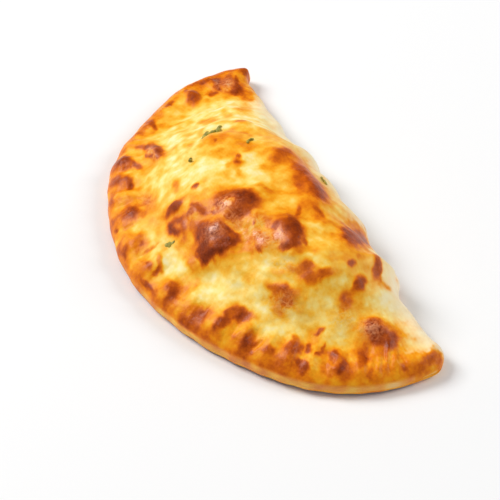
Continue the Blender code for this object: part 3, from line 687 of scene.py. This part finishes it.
def ring_faces(rings, steps):
    """Quads between neighbouring rings and a fan to the pole at each end."""
    ring, step = np.meshgrid(np.arange(rings - 1), np.arange(steps), indexing="ij")
    after = (step + 1) % steps
    here, there = ring * steps, (ring + 1) * steps
    quads = [here + step, here + after, there + after, there + step]
    quads = np.stack(quads, axis=-1).reshape(-1, 4).tolist()
    around = np.arange(steps)
    first_pole, last_pole = rings * steps, rings * steps + 1
    nose = np.stack([np.full(steps, first_pole), (around + 1) % steps, around], axis=1).tolist()
    base = (rings - 1) * steps
    tail = [np.full(steps, last_pole), base + around, base + (around + 1) % steps]
    return quads + nose + np.stack(tail, axis=1).tolist()


def with_poles(values, first, last):
    """A grid's values as one row, with those of the two poles at its end."""
    flat = values.reshape(-1, *values.shape[2:])
    return np.concatenate([flat, [first, last]])


def smooth_mesh(name, points, faces, **attributes):
    """A mesh shaded smooth, with one number at each point for every attribute."""
    mesh = bpy.data.meshes.new(name)
    mesh.from_pydata(points.tolist(), [], faces)
    for key, values in attributes.items():
        layer = mesh.attributes.new(key, "FLOAT", "POINT")
        layer.data.foreach_set("value", np.ascontiguousarray(values, np.float32))
    mesh.shade_smooth()
    mesh.update()
    thing = bpy.data.objects.new(name, mesh)
    bpy.context.scene.collection.objects.link(thing)
    return thing


TIP_TONE = 0.5
tip_place = np.array([HALF_LENGTH, TIP_LINE_Y - middle_y, EDGE_HEIGHT])
crust = smooth_mesh(
    "baked_crust",
    with_poles(skin, tip_place * [-1, 1, 1], tip_place),
    ring_faces(STATIONS, len(turn)),
    bake=with_poles(bake, TIP_TONE, TIP_TONE),
    red=with_poles(redness, 0.0, 0.0),
    rough=with_poles(dried_and_highlit_share * is_top, 0.0, 0.0),
    flour=with_poles(flour, 0.0, 0.0),
)


class Wire:
    """A number on its way through a material: sums and products add Math nodes."""

    def __init__(self, paint, socket):
        self.paint, self.socket = paint, socket

    def math(self, operation, first, second):
        """The outcome of one Math node on two numbers."""
        return self.paint.node("ShaderNodeMath", {"operation": operation}, {0: first, 1: second})

    def __add__(self, other):
        return self.math("ADD", self, other)

    def __radd__(self, other):
        return self.math("ADD", other, self)

    def __sub__(self, other):
        return self.math("SUBTRACT", self, other)

    def __rsub__(self, other):
        return self.math("SUBTRACT", other, self)

    def __mul__(self, other):
        return self.math("MULTIPLY", self, other)

    def __rmul__(self, other):
        return self.math("MULTIPLY", other, self)


class Paint:
    """A material and the one way in which its nodes are made."""

    def __init__(self, name, **constants):
        self.material = bpy.data.materials.new(name)
        self.material.use_nodes = True
        self.tree = self.material.node_tree
        self.shader = self.tree.nodes["Principled BSDF"]
        for key, value in constants.items():
            self.shader.inputs[key.replace("_", " ")].default_value = value

    def node(self, kind, settings, sockets, output=0):
        """Make a node, set and feed it, and give back one of its outputs."""
        made = self.tree.nodes.new(kind)
        for key, value in settings.items():
            if key == "stops":
                self.set_stops(made.color_ramp, value)
            else:
                setattr(made, key, value)
        for key, value in sockets.items():
            self.join(made.inputs[key], value)
        return Wire(self, made.outputs[output])

    def set_stops(self, ramp, stops):
        """Give a colour ramp its places and colours."""
        while len(ramp.elements) < len(stops):
            ramp.elements.new(1.0)
        for element, (place, colour) in zip(ramp.elements, stops):
            element.position = place
            element.color = colour

    def join(self, socket, value):
        """Link a wire to a socket, or set the socket to a plain value."""
        if isinstance(value, Wire):
            self.tree.links.new(value.socket, socket)
        else:
            socket.default_value = value

    def attribute(self, name):
        """One of the mesh's own numbers."""
        return self.node("ShaderNodeAttribute", {"attribute_name": name}, {}, "Fac")

    def speckle(self, size, detail, twist=0.0):
        """Noise from 0 to 1, its spots this many millimetres apart."""
        place = self.node("ShaderNodeTexCoord", {}, {}, "Object")
        sockets = {"Vector": place, "Scale": 1 / (size * MM), "Detail": detail, "Distortion": twist}
        return self.node("ShaderNodeTexNoise", {}, sockets)

    def put(self, **sockets):
        """Feed the surface shader."""
        for key, value in sockets.items():
            self.join(self.shader.inputs[key.replace("_", " ")], value)


def from_display(red, green, blue):
    """Scene colour of a display colour from 0 to 255.

    A share of 255 up to 0.04045 is divided by 12.92. A larger one has 0.055 added, is divided
    by 1.055 and is raised to 2.4, as the sRGB standard says.
    """
    share = np.array([red, green, blue]) / 255
    linear = np.where(share <= 0.04045, share / 12.92, ((share + 0.055) / 1.055) ** 2.4)
    return (*linear.tolist(), 1.0)


# Colours of the crust from unbaked to nearly black
BAKE_COLOURS = [
    (0.00, from_display(255, 238, 176)),
    (0.14, from_display(254, 222, 122)),
    (0.28, from_display(252, 194, 64)),
    (0.42, from_display(247, 163, 20)),
    (0.55, from_display(234, 129, 0)),
    (0.66, from_display(210, 101, 0)),
    (0.77, from_display(182, 78, 0)),
    (0.88, from_display(150, 57, 1)),
    (1.00, from_display(114, 38, 2)),
]
REDDENING = (1.0, 0.80, 0.9, 1.0)
# Pinkish pale colour of dried skin, also used as painted highlight on the blisters
DRIED_AND_HIGHLIGHT_COLOUR = from_display(226, 160, 122)
FLOUR_COLOUR = from_display(250, 235, 210)

# Noises of the skin: size in millimetres, detail, twist
MOTTLE = (4.0, 2.0)
GRAIN = (1.1, 3.0)
CREASED = (3.0, 3.0, 1.6)
FINE_BUMPS = (1.0, 4.0)
BROAD_BUMPS = (2.6, 2.0)

# How much the noises show in the colour, and how much more on baked dough
MOTTLE_SHARE, GRAIN_SHARE = 0.16, 0.12
PALE_UNEVEN, BAKED_UNEVEN = 0.35, 1.2
CREASE_SHADE = 1.1
RED_SHARE, FLOUR_SHARE = 0.5, 0.85
DRIED_AND_HIGHLIGHT_SHARE, DRIED_AND_HIGHLIGHT_CREASE = 0.3, 2.4

# Bumps too small for the mesh: their shares on plain, dried and baked skin, and their height
CREASED_BUMPS = 1.2
PLAIN_BUMPS, DRIED_BUMPS, BAKED_BUMPS = 0.2, 0.5, 0.4
BUMP_STRENGTH = 0.6
BUMP_HEIGHT = 0.8 * MM

# Baked dough is smoother, and shines a little where its fat has browned
ROUGHNESS, BAKED_SMOOTHER, MOTTLE_ROUGHNESS = 0.5, 0.12, 0.2
BAKED_SHINE, DRIED_SHINE = 0.12, 0.6
PLAIN_SHINE = 0.18
FAT_ROUGHNESS = 0.24

crust_paint = Paint(
    "baked_crust", Metallic=0.0, Specular_IOR_Level=PLAIN_SHINE, Coat_Roughness=FAT_ROUGHNESS
)
# The crust's tone, with its painted shade and highlights, as the mesh carries it
baked_with_painted_light = crust_paint.attribute("bake")
dried_and_highlit_mask = crust_paint.attribute("rough")
red_share = crust_paint.attribute("red")
mottle = crust_paint.speckle(*MOTTLE) - 0.5
grain = crust_paint.speckle(*GRAIN) - 0.5
creased = crust_paint.speckle(*CREASED) - 0.5
uneven = (mottle * MOTTLE_SHARE + grain * GRAIN_SHARE) * (baked_with_painted_light * BAKED_UNEVEN + PALE_UNEVEN)
# On the dried patches the crease noise streaks the tone paler and darker, part of their painted
# highlights
shade = baked_with_painted_light + uneven - creased * dried_and_highlit_mask * CREASE_SHADE
baked_colour = crust_paint.node("ShaderNodeValToRGB", {"stops": BAKE_COLOURS}, {"Fac": shade}, "Color")
reddened = crust_paint.node(
    "ShaderNodeMix",
    {"data_type": "RGBA", "blend_type": "MULTIPLY"},
    {"Factor": red_share * RED_SHARE, "A": baked_colour, "B": REDDENING},
    "Result",
)
# Dried skin and painted highlights: the pinkish pale colour mixed in on the patches, more where the
# crease noise is high
dried_and_highlit_colour = crust_paint.node(
    "ShaderNodeMix",
    {"data_type": "RGBA", "blend_type": "MIX"},
    {"Factor": dried_and_highlit_mask * (DRIED_AND_HIGHLIGHT_SHARE + creased * DRIED_AND_HIGHLIGHT_CREASE), "A": reddened, "B": DRIED_AND_HIGHLIGHT_COLOUR},
    "Result",
)
floured = crust_paint.node(
    "ShaderNodeMix",
    {"data_type": "RGBA", "blend_type": "MIX"},
    {"Factor": crust_paint.attribute("flour") * FLOUR_SHARE, "A": dried_and_highlit_colour, "B": FLOUR_COLOUR},
    "Result",
)
creased_bumps = creased * dried_and_highlit_mask * CREASED_BUMPS
grain_bumps = crust_paint.speckle(*FINE_BUMPS) + crust_paint.speckle(*BROAD_BUMPS)
bumps = creased_bumps + grain_bumps * (PLAIN_BUMPS + dried_and_highlit_mask * DRIED_BUMPS + baked_with_painted_light * BAKED_BUMPS)
bumped = crust_paint.node(
    "ShaderNodeBump",
    {},
    {"Strength": BUMP_STRENGTH, "Distance": BUMP_HEIGHT, "Height": bumps},
    "Normal",
)
crust_paint.put(
    Base_Color=floured,
    Roughness=ROUGHNESS - BAKED_SMOOTHER * baked_with_painted_light + mottle * MOTTLE_ROUGHNESS,
    Coat_Weight=baked_with_painted_light * baked_with_painted_light * BAKED_SHINE + dried_and_highlit_mask * DRIED_SHINE,
    Normal=bumped,
)
crust.data.materials.append(crust_paint.material)
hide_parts("calzone")
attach(crust, "root")


# The bits of green herb.
# Slivers of dried leaf that stuck to the crust and darkened in the oven, pressed
# into the dough to about half their thickness.

# Two ends on the crust and half width, in millimetres
HERBS = (
    (-55.0, 14.5, -47.5, 8.5, 1.3),
    (-53.5, 6.5, -46.0, 0.0, 1.6),
    (-51.5, 11.0, -49.0, 2.0, 1.3),
    (7.5, -38.0, 4.0, -46.0, 1.3),
    (-31.5, 22.5, -28.0, 17.5, 0.8),
    (-34.0, -12.0, -31.5, -13.0, 0.8),
    (-1.5, 48.6, 7.0, 46.6, 0.8),
)
HERB_HALF_THICKNESS = 0.9 * MM
HERB_SWAY, HERB_SWAY_WAVES = 0.5, 3
HERB_BLUNTNESS = 0.7
HERB_RINGS = 26
HERB_STEPS = 12

# Ripples of the slivers' edges: rise as a share of the width, waves along the sliver
LONG_RIPPLE, LONG_RIPPLE_WAVES = 0.25, 5
SHORT_RIPPLE, SHORT_RIPPLE_WAVES = 0.12, 13


def herb_points(x1, y1, x2, y2, half_width, seed):
    """An oval rod between two points, half sunk in the crust.

    At s from -1 to 1 along it, its half width is (1 - s squared)^0.35 times a long and a short
    sine ripple, its middle sways to the side as sin 3s, and its height is the crust's.
    """
    s = np.linspace(-1, 1, HERB_RINGS + 2)[1:-1, None]
    turn = np.linspace(0, 2 * np.pi, HERB_STEPS, endpoint=False)
    rippled = 1 + LONG_RIPPLE * np.sin(LONG_RIPPLE_WAVES * s + seed)
    rippled = rippled + SHORT_RIPPLE * np.sin(SHORT_RIPPLE_WAVES * s + 2 * seed)
    taper = np.sqrt(1 - s**2) ** HERB_BLUNTNESS * rippled
    run = np.array([x2 - x1, y2 - y1]) / 2
    side = np.array([-run[1], run[0]]) / np.hypot(*run)
    sway = HERB_SWAY * np.sin(HERB_SWAY_WAVES * s + seed)
    x = ((x1 + x2) / 2 + run[0] * s + side[0] * (sway + half_width * taper * np.cos(turn))) * MM
    y = ((y1 + y2) / 2 + run[1] * s + side[1] * (sway + half_width * taper * np.cos(turn))) * MM
    rim, arc = nearest_on(RIM, x, y)
    fold = nearest_on(FOLD, x, y)[0]
    z = crust_top(x, y, rim, arc, fold) + HERB_HALF_THICKNESS * taper * np.sin(turn)
    points = np.stack([x, y - middle_y, z], axis=-1)
    ends = points[0].mean(axis=0), points[-1].mean(axis=0)
    return with_poles(points, *ends)


herb_corners, herb_faces = [], []
for seed, herb in enumerate(HERBS):
    shift = sum(len(points) for points in herb_corners)
    herb_corners.append(herb_points(*herb, seed))
    herb_faces += [[corner + shift for corner in face] for face in ring_faces(HERB_RINGS, HERB_STEPS)]
herbs = smooth_mesh("herb_slivers", np.concatenate(herb_corners), herb_faces)

# Leaf that is olive in the dark spots of its noise and yellow green in the light ones
HERB_NOISE = (2.2, 3.0)
HERB_ROUGHNESS = 0.6
HERB_COLOURS = [(0.35, from_display(116, 110, 26)), (0.65, from_display(188, 170, 62))]

herb_paint = Paint("dried_herb", Metallic=0.0, Roughness=HERB_ROUGHNESS)
herb_tone = herb_paint.speckle(*HERB_NOISE)
herb_colour = herb_paint.node("ShaderNodeValToRGB", {"stops": HERB_COLOURS}, {"Fac": herb_tone}, "Color")
herb_paint.put(Base_Color=herb_colour)
herbs.data.materials.append(herb_paint.material)
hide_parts("calzone")
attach(herbs, "root")


# The table it lies on.
# A plain white sheet, larger than the picture, which shows nothing but the soft
# shadow of the crust.

FLOOR_HALF = 3.0
FLOOR_COLOUR = (0.92, 0.92, 0.92, 1)
FLOOR_ROUGHNESS = 0.9
floor_corners = np.array([(-1, -1, 0), (1, -1, 0), (1, 1, 0), (-1, 1, 0)]) * FLOOR_HALF
floor = smooth_mesh("floor", floor_corners, [[0, 1, 2, 3]])
floor_paint = Paint("white_sweep", Base_Color=FLOOR_COLOUR, Roughness=FLOOR_ROUGHNESS)
floor.data.materials.append(floor_paint.material)


# The studio.
# One large soft light, high and behind the first tip, in a white surround, and a
# long lens that looks down at half a right angle from the second tip's side.

CAMERA_AZIMUTH = 65.6
CAMERA_ELEVATION = 45.0
CAMERA_DISTANCE = 0.775
CAMERA_AIM = (21.8 * MM, -3.2 * MM - middle_y, 15.0 * MM)
LENS = 110.0
SENSOR = 36.0
LIGHT_FROM = (-0.70, -0.64, 0.9)
LIGHT_DISTANCE = 2.6
LIGHT_SIDE = 1.15
LIGHT_POWER = 54.0
FILL_FROM = (0.35, 1.0, 0.8)
FILL_POWER = 24.0
SURROUND = 0.36


def toward(azimuth, elevation):
    """Unit vector from the aim to a viewer at this azimuth and elevation."""
    turn, rise = np.radians([azimuth, elevation])
    return np.array([np.sin(turn) * np.cos(rise), -np.cos(turn) * np.cos(rise), np.sin(rise)])


def aimed(thing, direction, distance):
    """Put a camera or light this far out along a direction, looking back at the aim."""
    direction = Vector(direction).normalized()
    facing = direction.to_track_quat("Z", "Y").to_matrix().to_4x4()
    thing.matrix_world = Matrix.Translation(Vector(CAMERA_AIM) + direction * distance) @ facing
    bpy.context.scene.collection.objects.link(thing)


lens = bpy.data.cameras.new("camera")
lens.lens = LENS
lens.sensor_width = SENSOR
camera = bpy.data.objects.new("camera", lens)
aimed(camera, toward(CAMERA_AZIMUTH, CAMERA_ELEVATION), CAMERA_DISTANCE)
bpy.context.scene.camera = camera

for name, direction, power in (("key", LIGHT_FROM, LIGHT_POWER), ("fill", FILL_FROM, FILL_POWER)):
    softbox = bpy.data.lights.new(name, "AREA")
    softbox.shape = "SQUARE"
    softbox.size = LIGHT_SIDE
    softbox.energy = power
    aimed(bpy.data.objects.new(name, softbox), direction, LIGHT_DISTANCE)

world = bpy.data.worlds.new("white_surround")
bpy.context.scene.world = world
world.use_nodes = True
world.node_tree.nodes["Background"].inputs["Color"].default_value = (1, 1, 1, 1)
world.node_tree.nodes["Background"].inputs["Strength"].default_value = SURROUND
world.cycles_visibility.glossy = False
bpy.context.scene.view_settings.view_transform = "Standard"
